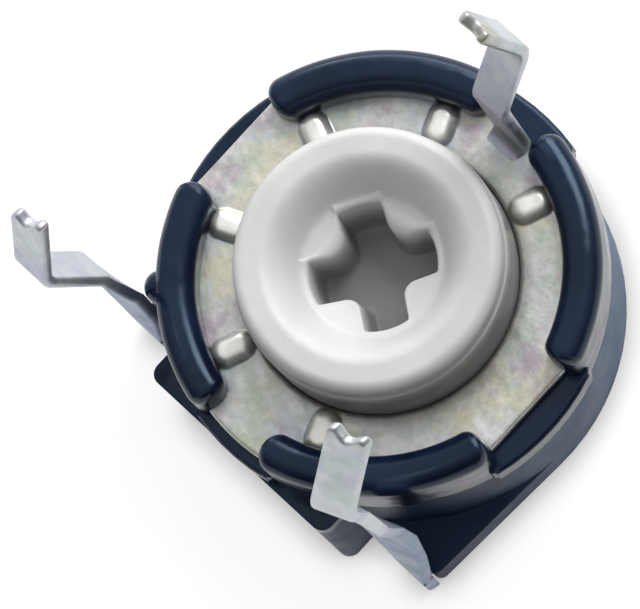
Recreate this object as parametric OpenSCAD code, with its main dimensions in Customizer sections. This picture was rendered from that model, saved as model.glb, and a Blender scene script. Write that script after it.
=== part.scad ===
// Closed round trimmer potentiometer with folded lips, a metal cover plate and kinked pins.
// The origin is on the rotor axis at the back face; +Z points out of the adjusting face.
// The end pins stand on the -Y side and the wiper pin on the +Y side.

/* [Housing] */
// Diameter of the round housing wall
body_d = 10.0; // [9:0.1:13]
// Height from the back face to the top of the folded lips
body_h = 5.0; // [4.8:0.1:7]
// Thickness of the round wall
wall_t = 0.65; // [0.5:0.05:0.8]
// Thickness of the floor inside the wall
floor_t = 0.9; // [0.8:0.05:1.1]
// Thickness of the square-cornered back flange
flange_t = 0.7; // [0.65:0.05:0.9]
// How far the flange's corners stand in from the width of the round wall
flange_in = 0.2; // [0.1:0.05:0.25]
// How far the flange's edge on the pin side stands in from the round wall
flange_edge_in = 0.85; // [0.7:0.05:0.95]
// Width of the flat foot block between the end pins
block_w = 5.7; // [4:0.1:6]
// How far the flat side of the foot block stands out from the round wall
block_out = 0.25; // [0.05:0.05:0.3]
// Height of the foot block
block_h = 3.2; // [1.5:0.1:3.6]
// How far the rim and the lips stand proud of the round wall
lip_proud = 0.18; // [0.05:0.01:0.3]
// Radial width of a folded lip
lip_w = 0.9; // [0.7:0.02:1.1]
// Height of a folded lip above the cover plate
lip_h = 0.85; // [0.5:0.05:1]
// Angle left open between two lips at the left and right
gap_x_deg = 34; // [20:1:44]
// Angle left open between two lips at the front and rear
gap_y_deg = 24; // [23:1:34]
// How far the rim stands out from the round wall between the lips
ledge_out = 0.3; // [0.2:0.01:0.35]
// Radius of the domed nub on the outside of the wall
nub_r = 0.4; // [0.2:0.02:0.45]
// Height of the nub
nub_h = 4.7; // [3:0.1:4.8]
// Radius of the small bumps that the folding leaves at the lip ends
bump_r = 0.16; // [0.1:0.02:0.26]

/* [Cover plate] */
// Thickness of the cover plate
plate_t = 0.3; // [0.2:0.05:0.4]
// How far the plate's straight edges stand in from the round wall
plate_flat_in = 0.23; // [0.15:0.01:0.4]
// Width of an embossed rib
rib_w = 0.5; // [0.3:0.05:0.6]
// Height of an embossed rib above the plate
rib_h = 0.2; // [0.1:0.02:0.25]

/* [Rotor] */
// Diameter of the rotor where it passes through the cover plate
rotor_d = 6.35; // [5.25:0.05:6.45]
// Height of the rotor above the cover plate
rotor_rise = 2.0; // [1.4:0.05:2.4]
// Radius of the rounded edge of the rotor face
rotor_edge_r = 0.25; // [0.1:0.05:0.5]
// Diameter at which the rotor face starts to dip
dish_d = 4.8; // [4.4:0.1:5.2]
// Depth of the rounded dip down to the funnel mouth
dish_h = 0.7; // [0.3:0.05:0.8]
// Diameter of the funnel mouth in the rotor face
funnel_d = 3.7; // [3.3:0.1:4.2]
// Depth of the funnel
funnel_h = 1.1; // [0.95:0.05:1.2]
// Length of the cross slot from end to end
slot_len = 3.0; // [2.4:0.1:3.2]
// Width of one arm of the cross slot
slot_w = 1.0; // [0.6:0.05:1.1]
// Depth of the front cross slot below the rotor face
slot_h = 2.65; // [1.7:0.05:2.8]
// Depth of the rear cross slot
rear_slot_h = 0.8; // [0.4:0.1:0.9]
// How much smaller the rear hub's radius is than the rotor's
hub_step = 1.25; // [1.15:0.05:1.3]
// Angle from mid-travel at which the rotor is set
rotor_turn = 12; // [-60:1:60]

/* [Travel] */
// Half angle of the stop block in the housing
stop_half_deg = 39; // [30:1:45]
// Half angle of the stop lug on the rotor
lug_half_deg = 22.5; // [18:0.5:24]

/* [Element] */
// Thickness of the element board
board_t = 0.6; // [0.4:0.05:0.7]
// Mean radius of the resistive track
track_r = 3.6; // [3.5:0.05:3.7]
// Width of the resistive track
track_w = 0.8; // [0.5:0.05:0.9]
// Angle of a rivet from the middle of the pin side
rivet_deg = 38; // [34:1:42]

/* [Pins] */
// Width of the pin strip
pin_w = 1.0; // [0.7:0.05:1.1]
// Thickness of the pin strip
pin_t = 0.3; // [0.2:0.05:0.35]
// Inner radius of the bends in the kinked part
kink_r = 0.3; // [0.1:0.05:0.4]
// Distance of the end pins from the middle plane
pin_x = 4.35; // [4.1:0.05:4.6]
// Depth of the hollow cut in a pin's tip
tip_notch = 0.3; // [0.1:0.05:0.4]
// Height at which the kink starts on the left pin
left_kink_z = 6.6; // [5.5:0.1:8]
// Rise from there to the crest of the left pin
left_crest_h = 2.6; // [1.5:0.1:3]
// Rise from the crest to the tip of the left pin
left_tip_h = 2.9; // [1.5:0.1:4]
// How far the left pin's crest stands out
left_out = 0.9; // [0.3:0.05:1.2]
// How far the left pin's tip comes back from its crest
left_back = 0.85; // [0.3:0.05:1.6]
// How much lower the outer corner of the left pin's tip is cut
left_skew = 0.6; // [0:0.1:1]
// Height at which the kink starts on the right pin
right_kink_z = 6.4; // [5.5:0.1:8]
// Rise from there to the crest of the right pin
right_crest_h = 2.7; // [1.5:0.1:3]
// Rise from the crest to the tip of the right pin
right_tip_h = 3.2; // [1.5:0.1:4]
// How far the right pin's crest stands out
right_out = 0.5; // [0.3:0.05:1.2]
// How far the right pin's tip comes back from its crest
right_back = 1.5; // [0.3:0.05:1.6]
// How far in from the round wall the wiper pin stands
wiper_pin_in = 0.55; // [0.5:0.05:0.6]
// Height at which the kink starts on the wiper pin
wiper_kink_z = 7.2; // [5.5:0.1:8]
// Rise from there to the crest of the wiper pin
wiper_crest_h = 1.9; // [1.5:0.1:3]
// Rise from the crest to the tip of the wiper pin
wiper_tip_h = 3.0; // [1.5:0.1:4]
// How far the wiper pin's crest stands out
wiper_out = 1.25; // [0.3:0.05:1.4]
// How far the wiper pin's tip comes back from its crest
wiper_back = 0.65; // [0.3:0.05:1.6]

/* [Clearances] */
// Radial clearance of the rotor in its two bearings
run_gap = 0.05; // [0.03:0.01:0.08]
// Clearance between pieces that are dropped into place
fit_gap = 0.06; // [0.03:0.01:0.1]

/* [Hidden] */
eps = 0.05;

body_r = body_d / 2;
flange_x = body_r - flange_in;
flange_y = body_r - flange_edge_in;
block_y = body_r + block_out;
wiper_pin_y = body_r - wiper_pin_in;
cavity_r = body_r - wall_t;
seat_z = body_h - lip_h - plate_t;
plate_top = seat_z + plate_t;
lip_r = body_r + lip_proud;
lip_in_r = lip_r - lip_w;
lip_round = 0.4 * lip_w;
rim_z = seat_z - 0.65;
plate_r = body_r - 0.28;

board_r = cavity_r - fit_gap;
board_z = floor_t;
board_top = board_z + board_t;
track_h = 0.04;
track_half_deg = 142;

rotor_r = rotor_d / 2;
hub_r = rotor_r - hub_step;
end_play = 0.05;
hub_z = 0.05;
spring_t = 0.15;
spring_z = board_top + 0.25;
carrier_z = spring_z + spring_t;
carrier_r = rotor_r - 0.05;
shoulder_r = rotor_r + 0.17;
shoulder_z = seat_z - 0.8;
rotor_top = plate_top + rotor_rise;
step_z = plate_top + 0.7 * rotor_rise;
edge_step = 0.06;
face_r = min(dish_d / 2, rotor_r - rotor_edge_r - 2 * edge_step);
dish_w = face_r - funnel_d / 2 - 0.05;
spring_in_r = hub_r + 0.1;
spring_out_r = carrier_r - 0.1;
stake_r = (spring_in_r + spring_out_r) / 2;
stake_pin_r = 0.2;

lug_z = carrier_z + 0.3;
lug_h = 0.85;
lug_r = cavity_r - 0.25;
lug_window_deg = 13;
stop_z = board_top + 0.4;
stop_in_r = shoulder_r + 0.15;
finger_w = 0.55;
finger_deg = 7;

foot_z = 0.12;
recess_h = foot_z + pin_t;
foot_w = 0.7;
pad_r = 0.75;
bend_r = pin_t / 2 + 0.15;
pin_y = flange_y + fit_gap + pin_t / 2;
rivet_r = track_r + 0.1;
rivet_x = rivet_r * sin(rivet_deg);
rivet_y = -rivet_r * cos(rivet_deg);
rivet_shank_r = 0.34;
rivet_head_r = 0.55;
rivet_head_h = 0.1;
nub_deg = 44;

// Point at radius r and angle a
function polar(r, a) = [r * cos(a), r * sin(a)];
// Points along an arc round c
function arc(c, r, a0, a1, n) = [for (k = [0:n]) c + polar(r, a0 + (a1 - a0) * k / n)];
// Unit vector from a to b
function dir(a, b) = (b - a) / norm(b - a);
// Vector v turned by angle a
function turn(v, a) = [v.x * cos(a) - v.y * sin(a), v.x * sin(a) + v.y * cos(a)];

// One rounded corner of a strip's centre line, as [point, left normal] pairs
function bend(a, p, b, r, n) =
    let (d1 = dir(a, p), d2 = dir(p, b))
    let (th = acos(d1 * d2), s = sign(d1.x * d2.y - d1.y * d2.x))
    let (n1 = [-d1.y, d1.x], c = p - d1 * r * tan(th / 2) + n1 * s * r)
    [for (k = [0:n]) let (m = turn(n1, s * th * k / n)) [c - m * s * r, m]];

// Pairs of points and normals along a whole centre line with rounded corners
function strip_line(path, r) =
    let (last = len(path) - 1, d0 = dir(path[0], path[1]), d1 = dir(path[last - 1], path[last]))
    concat([[path[0], [-d0.y, d0.x]]],
           [for (i = [1:last - 1]) each bend(path[i - 1], path[i], path[i + 1], r, 5)],
           [[path[last], [-d1.y, d1.x]]]);

// Outline of a strip of thickness t along a centre line
module strip_outline(path, t, r) {
    line = strip_line(path, r);
    polygon(concat([for (q = line) q[0] + q[1] * t / 2],
                   [for (i = [len(line) - 1:-1:0]) line[i][0] - line[i][1] * t / 2]));
}

// Front view of a strip's tip, with a hollow end and an end line that falls by skew on one side
module tip_plan(w, top, skew) {
    horn = 0.16;
    difference() {
        polygon([[-w, -top], [w, -top], [w, top - 1.5 * skew - horn], [w / 2, top - 1.5 * skew - horn],
                 [w / 2, top - skew - horn], [w / 2 - horn, top - skew], [horn - w / 2, top],
                 [-w / 2, top - horn], [-w / 2, top - 1], [-w, top - 1]]);
        translate([0, top - skew / 2])
            circle(r = tip_notch, $fn = 32);
    }
}

// Strip of width w, bent in the plane of distance from the axis and height, centred on x
module bent_strip(path, w, t, r, x) {
    translate([x, 0, 0])
        rotate([90, 0, 90])
            linear_extrude(height = w, center = true)
                strip_outline(path, t, r);
}

// Pie slice from angle a0 to a1, large enough to cover the body
module slice(a0, a1) {
    polygon(concat([[0, 0]], arc([0, 0], 2 * body_r, a0, a1, 6)));
}

// Part of a ring between two radii and two angles
module ring_part(r0, r1, a0, a1) {
    intersection() {
        difference() {
            circle(r = r1, $fn = 96);
            circle(r = r0, $fn = 96);
        }
        slice(a0, a1);
    }
}

// Cross-section of a folded lip, with the distance from the axis along x
module lip_section() {
    top = plate_top + lip_h;
    polygon(concat([[plate_r + fit_gap, rim_z], [lip_r - 0.1, rim_z], [lip_r, seat_z - 0.1]],
                   arc([lip_r - lip_round, top - lip_round], lip_round, 0, 90, 6),
                   arc([lip_in_r + lip_round, top - lip_round], lip_round, 90, 180, 6),
                   [[lip_in_r, plate_top], [plate_r + fit_gap, plate_top]]));
}

// Plan of one lip, with rounded corners at both ends
module lip_plan(a0, a1) {
    corner = 0.3;
    in_deg = asin((corner + eps) / lip_in_r);
    out_deg = asin((corner + eps) / lip_r);
    ring_part(lip_in_r + corner, lip_r - corner, a0, a1);
    ring_part(lip_in_r - eps, lip_r + eps, a0 + in_deg, a1 - in_deg);
    for (s = [-1, 1]) {
        a = s < 0 ? a0 : a1;
        translate(polar(lip_in_r + corner, a - s * in_deg))
            circle(r = corner + eps, $fn = 32);
        translate(polar(lip_r - corner, a - s * out_deg))
            circle(r = corner + eps, $fn = 32);
    }
}

module lip(a0, a1) {
    intersection() {
        rotate_extrude($fn = 96)
            lip_section();
        translate([0, 0, rim_z - eps])
            linear_extrude(height = lip_h + plate_t + 1)
                lip_plan(a0, a1);
    }
    for (a = [a0, a1])
        translate(concat(polar(lip_r - 0.08, a), rim_z + 0.1))
            cylinder(r = bump_r, h = seat_z - rim_z - 0.1, $fn = 24);
}

// Flared rim of outer radius r
module rim(r) {
    rotate_extrude($fn = 96)
        polygon([[cavity_r + 0.1, rim_z - 0.4], [body_r, rim_z - 0.4], [r, rim_z + 0.1],
                 [r, seat_z - 0.08], [r - 0.08, seat_z], [cavity_r + 0.1, seat_z]]);
}

// Wider rim in the four gaps between the lips
module gap_rims() {
    intersection() {
        rim(body_r + ledge_out);
        linear_extrude(height = body_h)
            for (k = [0:3]) {
                half = (k % 2 == 0 ? gap_x_deg : gap_y_deg) / 2;
                slice(90 * k - half, 90 * k + half);
            }
    }
}

// Domed nub that runs up the outside of the wall on the left
module nub() {
    difference() {
        rotate([0, 0, 180 + nub_deg])
            translate([body_r + 0.14, 0, 0]) {
                translate([0, 0, flange_t - eps])
                    cylinder(r = nub_r, h = nub_h - nub_r - flange_t + eps, $fn = 32);
                translate([0, 0, nub_h - nub_r])
                    sphere(r = nub_r, $fn = 32);
            }
        translate([0, 0, seat_z])
            cylinder(r = plate_r + fit_gap, h = nub_h, $fn = 96);
    }
}

// Back flange, with straight sides that run from its corners to the round wall
module flange_plan() {
    corner = 0.2;
    reach = norm([flange_x, flange_y]);
    touch = acos(body_r / reach) - atan2(flange_y, flange_x);
    circle(r = body_r, $fn = 96);
    polygon([[-flange_x, corner - flange_y], [corner - flange_x, -flange_y],
             [flange_x - corner, -flange_y], [flange_x, corner - flange_y],
             polar(body_r, touch), [0, 0], polar(body_r, 180 - touch)]);
    for (s = [-1, 1])
        translate([s * (flange_x - corner), corner - flange_y])
            circle(r = corner, $fn = 24);
}

module block_plan() {
    corner = 0.3;
    translate([-block_w / 2, corner - block_y])
        square([block_w, block_y - corner]);
    translate([corner - block_w / 2, -block_y])
        square([block_w - 2 * corner, block_y]);
    for (s = [-1, 1])
        translate([s * (block_w / 2 - corner), corner - block_y])
            circle(r = corner, $fn = 24);
}

// Plan of a pin's flat foot, grown on every side by g
module foot_plan(g) {
    x0 = pin_x - pin_w / 2;
    translate([x0 - g, -pin_y])
        square([foot_w + 2 * g, pin_y + rivet_y + foot_w / 2 + g]);
    translate([rivet_x, rivet_y - foot_w / 2 - g])
        square([x0 + foot_w / 2 - rivet_x, foot_w + 2 * g]);
    translate([rivet_x, rivet_y])
        circle(r = pad_r + g, $fn = 48);
}

module housing_shell() {
    cylinder(r = body_r, h = seat_z, $fn = 96);
    rim(lip_r);
    gap_rims();
    nub();
    linear_extrude(height = flange_t)
        flange_plan();
    linear_extrude(height = block_h)
        block_plan();
    for (k = [0:3])
        lip(90 * k + (k % 2 == 0 ? gap_x_deg : gap_y_deg) / 2,
            90 * (k + 1) - (k % 2 == 0 ? gap_y_deg : gap_x_deg) / 2);
}

module housing() {
    color("#1d2545") {
        difference() {
            housing_shell();
            translate([0, 0, floor_t])
                cylinder(r = cavity_r, h = body_h, $fn = 96);
            translate([0, 0, -eps])
                cylinder(r = hub_r + run_gap, h = floor_t + 2 * eps, $fn = 64);
            for (s = [0, 1])
                mirror([s, 0, 0]) {
                    translate([0, 0, -eps])
                        linear_extrude(height = recess_h + eps)
                            foot_plan(fit_gap);
                    translate([pin_x - pin_w / 2 - fit_gap, -pin_y, -eps])
                        cube([foot_w + 2 * fit_gap, pin_t + 0.07, recess_h + 0.14 + eps]);
                    translate([rivet_x, rivet_y, 0])
                        cylinder(r = rivet_shank_r + fit_gap, h = floor_t + eps, $fn = 32);
                }
        }
        translate([0, 0, stop_z])
            linear_extrude(height = seat_z - stop_z - 0.2)
                ring_part(stop_in_r, cavity_r + 0.2, 270 - stop_half_deg, 270 + stop_half_deg);
    }
}

// Plate outline: a disc under the lips, with a straight tab in each side gap and round ones in the others
module plate_plan() {
    tab_x = body_r * sin(gap_x_deg / 2) - 0.12;
    tab_y = body_r * sin(gap_y_deg / 2) - 0.08;
    circle(r = plate_r, $fn = 96);
    square([2 * (body_r - plate_flat_in), 2 * tab_x], center = true);
    intersection() {
        circle(r = body_r, $fn = 96);
        square([2 * tab_y, 2 * body_d], center = true);
    }
}

// Round-ended bar that lies across the plate along each rib direction
module rib_bar(r, z, r0, r1) {
    for (k = [0:5])
        rotate([0, 0, 67.5 + 45 * k])
            translate([r0, 0, z]) {
                rotate([0, 90, 0])
                    cylinder(r = r, h = r1 - r0, $fn = 32);
                for (x = [0, r1 - r0])
                    translate([x, 0, 0])
                        sphere(r = r, $fn = 32);
            }
}

module cover_plate() {
    rib_r = (rib_w * rib_w / 4 + rib_h * rib_h) / (2 * rib_h);
    groove_r = rib_r * 0.6;
    rib_in = 0.4;
    hole_r = rotor_r + run_gap;
    slit = 0.1;
    wiper_path = [[wiper_pin_y - 1, seat_z + plate_t / 2],
                  [wiper_pin_y, seat_z + plate_t / 2],
                  [wiper_pin_y, wiper_kink_z],
                  [wiper_pin_y + wiper_out, wiper_kink_z + wiper_crest_h],
                  [wiper_pin_y + wiper_out - wiper_back, wiper_kink_z + wiper_crest_h + wiper_tip_h]];
    wiper_tip_z = wiper_kink_z + wiper_crest_h + wiper_tip_h;
    color("#b5b39f") {
        difference() {
            union() {
                translate([0, 0, seat_z])
                    linear_extrude(height = plate_t)
                        difference() {
                            plate_plan();
                            circle(r = hole_r, $fn = 96);
                            translate([-pin_w / 2 - slit, wiper_pin_y - pin_w / 2])
                                square([pin_w + 2 * slit, body_r]);
                        }
                intersection() {
                    rib_bar(rib_r, plate_top + rib_h - rib_r, hole_r + rib_in, lip_in_r - 0.25);
                    translate([0, 0, plate_top - eps])
                        cylinder(r = body_r, h = 1, $fn = 96);
                }
            }
            rib_bar(groove_r, seat_z, hole_r + rib_in, lip_in_r - 0.25);
        }
        intersection() {
            bent_strip(wiper_path, pin_w, plate_t, plate_t / 2 + kink_r, 0);
            translate([0, body_d, 0])
                rotate([90, 0, 0])
                    linear_extrude(height = body_d - wiper_pin_y + pin_w / 2 + eps)
                        tip_plan(pin_w, wiper_tip_z, 0);
        }
    }
}

// Cross of two slots with round ends and rounded inner corners
module cross_plan(len) {
    round_r = 0.22;
    intersection() {
        circle(r = len / 2, $fn = 64);
        union() {
            square([len, slot_w], center = true);
            square([slot_w, len], center = true);
            for (k = [0:3])
                rotate([0, 0, 90 * k])
                    translate([slot_w / 2, slot_w / 2])
                        difference() {
                            square(round_r);
                            translate([round_r, round_r])
                                circle(r = round_r, $fn = 24);
                        }
        }
    }
}

module rotor_body() {
    rotate_extrude($fn = 96)
        polygon(concat([[0, hub_z], [hub_r, hub_z], [hub_r, carrier_z], [carrier_r, carrier_z],
                        [carrier_r, shoulder_z], [shoulder_r, shoulder_z],
                        [shoulder_r, seat_z - end_play], [rotor_r, seat_z - end_play],
                        [rotor_r, step_z], [rotor_r - edge_step, step_z + edge_step]],
                       arc([rotor_r - edge_step - rotor_edge_r, rotor_top - rotor_edge_r],
                           rotor_edge_r, 0, 90, 6),
                       [for (a = [0:15:90]) [face_r - dish_w * sin(a), rotor_top - dish_h * (1 - cos(a))]],
                       [[funnel_d / 2, rotor_top - dish_h - 0.08], [0.8, rotor_top - funnel_h],
                        [0, rotor_top - funnel_h]]));
    translate([0, 0, lug_z])
        linear_extrude(height = lug_h)
            for (s = [0, 1])
                mirror([s, 0])
                    ring_part(carrier_r - eps, lug_r, 90 + lug_window_deg, 90 + lug_half_deg);
    for (k = [0:2])
        rotate([0, 0, 30 + 120 * k])
            translate([stake_r, 0, 0]) {
                translate([0, 0, spring_z - 0.02])
                    cylinder(r = stake_pin_r, h = spring_t + 0.1, $fn = 24);
                translate([0, 0, spring_z - 0.1])
                    cylinder(r = stake_pin_r + 0.12, h = 0.1, $fn = 24);
            }
}

module rotor() {
    color("#dcdddc")
        rotate([0, 0, rotor_turn])
            difference() {
                rotor_body();
                rotate([0, 0, 45]) {
                    translate([0, 0, rotor_top - slot_h])
                        linear_extrude(height = slot_h + eps)
                            cross_plan(slot_len);
                    translate([0, 0, hub_z - eps])
                        linear_extrude(height = rear_slot_h + eps)
                            cross_plan(min(slot_len, 2 * hub_r - 0.7));
                }
            }
}

// Spring finger bent in the plane of radius and height, at angle a
module finger(path, a) {
    rotate([0, 0, a - 90])
        bent_strip(path, finger_w, spring_t, 0.15, 0);
}

module wiper_spring() {
    mid_z = spring_z + spring_t / 2;
    track_z = board_top + track_h + 0.02 + spring_t / 2;
    plate_z = seat_z - 0.02 - spring_t / 2;
    root_r = spring_out_r - 0.2;
    color("#c9a45c")
        rotate([0, 0, rotor_turn]) {
            difference() {
                union() {
                    translate([0, 0, spring_z])
                        cylinder(r = spring_out_r, h = spring_t, $fn = 64);
                    finger([[root_r, mid_z], [track_r - 0.45, mid_z], [track_r - 0.1, track_z],
                            [track_r + 0.1, track_z], [track_r + 0.3, mid_z]], 90 - finger_deg);
                    finger([[root_r, mid_z], [track_r - 0.15, mid_z], [track_r - 0.05, plate_z],
                            [track_r + 0.35, plate_z], [track_r + 0.45, plate_z - 0.3]], 90 + finger_deg);
                }
                translate([0, 0, spring_z - eps])
                    cylinder(r = spring_in_r, h = spring_t + 2 * eps, $fn = 64);
                for (k = [0:2])
                    rotate([0, 0, 30 + 120 * k])
                        translate([stake_r, 0, spring_z - eps])
                            cylinder(r = stake_pin_r + 0.01, h = spring_t + 2 * eps, $fn = 24);
            }
        }
}

module resistive_element() {
    color("#6b4426")
        difference() {
            union() {
                translate([0, 0, board_z])
                    cylinder(r = board_r, h = board_t, $fn = 96);
                translate([0, 0, board_top - eps])
                    linear_extrude(height = track_h + eps)
                        ring_part(track_r - track_w / 2, track_r + track_w / 2,
                                  90 - track_half_deg, 90 + track_half_deg);
            }
            translate([0, 0, board_z - eps])
                cylinder(r = hub_r + 0.2, h = board_t + 1, $fn = 64);
            for (s = [-1, 1])
                translate([s * rivet_x, rivet_y, board_z - eps])
                    cylinder(r = rivet_shank_r + 0.02, h = board_t + 1, $fn = 32);
        }
}

// End pin on the +X side, from its riveted foot to its tip
module end_pin(kink_z, crest_h, tip_h, out, back, skew) {
    tip_z = kink_z + crest_h + tip_h;
    foot_path = [[pin_y - 1, foot_z + pin_t / 2], [pin_y, foot_z + pin_t / 2], [pin_y, foot_z + 2]];
    kink_path = [[pin_y, foot_z + 1], [pin_y, kink_z], [pin_y + out, kink_z + crest_h],
                 [pin_y + out - back, tip_z]];
    difference() {
        union() {
            intersection() {
                translate([pin_x, 0, 0])
                    mirror([0, 1, 0])
                        bent_strip(kink_path, pin_w, pin_t, pin_t / 2 + kink_r, 0);
                translate([pin_x, 0, 0])
                    rotate([90, 0, 0])
                        linear_extrude(height = 2 * body_d)
                            tip_plan(pin_w, tip_z, skew);
            }
            intersection() {
                mirror([0, 1, 0])
                    bent_strip(foot_path, pin_w, pin_t, bend_r, pin_x);
                translate([0, -2 * body_d - flange_y - fit_gap, 0])
                    cube([body_d, 2 * body_d, 4 * body_h]);
            }
            intersection() {
                mirror([0, 1, 0])
                    bent_strip(foot_path, foot_w, pin_t, bend_r, pin_x - (pin_w - foot_w) / 2);
                translate([0, -pin_y, 0])
                    cube([body_d, body_d, flange_t]);
            }
            translate([0, 0, foot_z])
                linear_extrude(height = pin_t)
                    intersection() {
                        foot_plan(0);
                        translate([0, -pin_y + bend_r])
                            square([body_d, body_d]);
                    }
        }
        translate([rivet_x, rivet_y, foot_z - eps])
            cylinder(r = rivet_shank_r + 0.02, h = pin_t + 2 * eps, $fn = 32);
    }
}

module left_pin() {
    color("#b9c2cc")
        mirror([1, 0, 0])
            end_pin(left_kink_z, left_crest_h, left_tip_h, left_out, left_back, left_skew);
}

module right_pin() {
    color("#b9c2cc")
        end_pin(right_kink_z, right_crest_h, right_tip_h, right_out, right_back, 0);
}

// Hollow rivet through foot, floor and board
module rivet() {
    top = board_top + track_h;
    translate([rivet_x, rivet_y, 0])
        difference() {
            union() {
                translate([0, 0, foot_z - rivet_head_h])
                    cylinder(r = rivet_head_r, h = rivet_head_h, $fn = 48);
                translate([0, 0, foot_z - eps])
                    cylinder(r = rivet_shank_r, h = top - foot_z + 2 * eps, $fn = 32);
                translate([0, 0, top])
                    cylinder(r = rivet_head_r, h = rivet_head_h, $fn = 48);
            }
            translate([0, 0, foot_z - 1])
                cylinder(r = rivet_shank_r - 0.14, h = 4, $fn = 24);
        }
}

module left_rivet() {
    color("#c8b273")
        mirror([1, 0, 0])
            rivet();
}

module right_rivet() {
    color("#c8b273")
        rivet();
}

housing();
cover_plate();
rotor();
wiper_spring();
resistive_element();
left_pin();
right_pin();
left_rivet();
right_rivet();
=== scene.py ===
import math

import bmesh
import bpy
import numpy as np
from mathutils import Matrix, Vector


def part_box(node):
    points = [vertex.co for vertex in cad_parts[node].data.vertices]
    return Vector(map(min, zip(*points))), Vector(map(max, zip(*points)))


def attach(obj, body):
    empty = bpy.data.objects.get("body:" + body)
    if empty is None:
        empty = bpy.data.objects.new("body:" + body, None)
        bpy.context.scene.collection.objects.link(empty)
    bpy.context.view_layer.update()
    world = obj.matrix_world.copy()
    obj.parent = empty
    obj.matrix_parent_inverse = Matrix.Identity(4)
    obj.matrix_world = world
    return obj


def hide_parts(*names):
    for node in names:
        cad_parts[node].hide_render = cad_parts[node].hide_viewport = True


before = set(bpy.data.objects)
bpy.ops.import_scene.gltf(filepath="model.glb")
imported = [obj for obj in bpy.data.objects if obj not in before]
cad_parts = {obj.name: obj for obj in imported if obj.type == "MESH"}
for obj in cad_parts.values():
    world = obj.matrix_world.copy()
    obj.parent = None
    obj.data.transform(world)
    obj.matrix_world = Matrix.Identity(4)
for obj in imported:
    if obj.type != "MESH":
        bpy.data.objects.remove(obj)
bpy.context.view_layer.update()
mm = 0.001
print("stage: frame loaded,", len(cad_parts), "nodes")


# the camera looks down on the part, turned so that its axis leans up and to the left
cameraSetup = {
    "aimAt": (-0.39, -1.43, 5.0),  # mm, the point in the middle of the view
    "away": 150.08,  # mm from that point
    "azimuth": -5.06,  # degrees from +X towards +Y
    "elevation": 72.5,
    "axisLean": 132.4,  # degrees from the view's right-hand side to the part's +Z
    "lens": 370.9,
    "clipStart": 0.005,  # metres
    "clipEnd": 5.0,
}


def direction(azimuth, elevation):
    a, e = math.radians(azimuth), math.radians(elevation)
    return Vector((math.cos(e) * math.cos(a), math.cos(e) * math.sin(a), math.sin(e)))


def addCamera():
    back = direction(cameraSetup["azimuth"], cameraSetup["elevation"])
    up = Vector((0, 0, 1))
    seenAxis = (up - back * up.dot(back)).normalized()
    right = Matrix.Rotation(-math.radians(cameraSetup["axisLean"]), 3, back) @ seenAxis
    turned = Matrix((right, back.cross(right), back)).transposed().to_4x4()
    data = bpy.data.cameras.new("viewCamera")
    data.lens = cameraSetup["lens"]
    data.clip_start = cameraSetup["clipStart"]
    data.clip_end = cameraSetup["clipEnd"]
    camera = bpy.data.objects.new("viewCamera", data)
    place = Vector(cameraSetup["aimAt"]) * mm + back * cameraSetup["away"] * mm
    camera.matrix_world = Matrix.Translation(place) @ turned
    bpy.context.scene.collection.objects.link(camera)
    bpy.context.scene.camera = camera


# node tools: most add one node and return the socket that the next one reads
def plug(tree, value, socket):
    if isinstance(value, bpy.types.NodeSocket):
        tree.links.new(value, socket)
    elif socket.type == "RGBA":
        socket.default_value = (*value, 1.0)
    else:
        socket.default_value = value


def addNode(tree, kind, settings=None, **inputs):
    node = tree.nodes.new(kind)
    for name, value in (settings or {}).items():
        setattr(node, name, value)
    for name, value in inputs.items():
        plug(tree, value, node.inputs[name.replace("_", " ")])
    return node


def objectPlace(tree, stretch=(1, 1, 1), turn=(0, 0, 0)):
    place = addNode(tree, "ShaderNodeTexCoord").outputs["Object"]
    turned = tuple(math.radians(a) for a in turn)
    mapping = addNode(tree, "ShaderNodeMapping", Vector=place, Scale=stretch, Rotation=turned)
    return mapping.outputs["Vector"]


def noise(tree, place, perMm, detail=3.0, roughness=0.55):
    made = addNode(tree, "ShaderNodeTexNoise", Vector=place, Scale=perMm / mm,
                   Detail=detail, Roughness=roughness)
    return made.outputs["Fac"]


# a smooth step: the value's way from low to high becomes the way from toLow to toHigh
def spread(tree, value, low, high, toLow=0.0, toHigh=1.0):
    made = addNode(tree, "ShaderNodeMapRange", {"interpolation_type": "SMOOTHSTEP"}, Value=value,
                   From_Min=low, From_Max=high, To_Min=toLow, To_Max=toHigh)
    return made.outputs["Result"]


def maths(tree, what, a, b=0.0):
    made = addNode(tree, "ShaderNodeMath", {"operation": what})
    plug(tree, a, made.inputs[0])
    plug(tree, b, made.inputs[1])
    return made.outputs[0]


def dotProduct(tree, a, b):
    made = addNode(tree, "ShaderNodeVectorMath", {"operation": "DOT_PRODUCT"})
    plug(tree, a, made.inputs[0])
    plug(tree, b, made.inputs[1])
    return made.outputs["Value"]


# a colour mix node's sockets go by number, because each of its names is there once per data type
def blendColour(tree, share, first, second, how="MIX"):
    made = addNode(tree, "ShaderNodeMix", {"data_type": "RGBA", "blend_type": how})
    for number, value in ((0, share), (6, first), (7, second)):
        plug(tree, value, made.inputs[number])
    return made.outputs[2]


def timesColour(tree, first, second):
    return blendColour(tree, 1.0, first, second, "MULTIPLY")


def greyOf(tree, value):
    made = addNode(tree, "ShaderNodeCombineColor", Red=value, Green=value, Blue=value)
    return made.outputs[0]


def bump(tree, height, depth, under=None):
    made = addNode(tree, "ShaderNodeBump", Height=height, Strength=1.0, Distance=depth * mm)
    if under is not None:
        tree.links.new(under, made.inputs["Normal"])
    return made.outputs["Normal"]


def roundedEdge(tree, radius):
    return addNode(tree, "ShaderNodeBevel", {"samples": 6}, Radius=radius * mm).outputs["Normal"]


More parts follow.
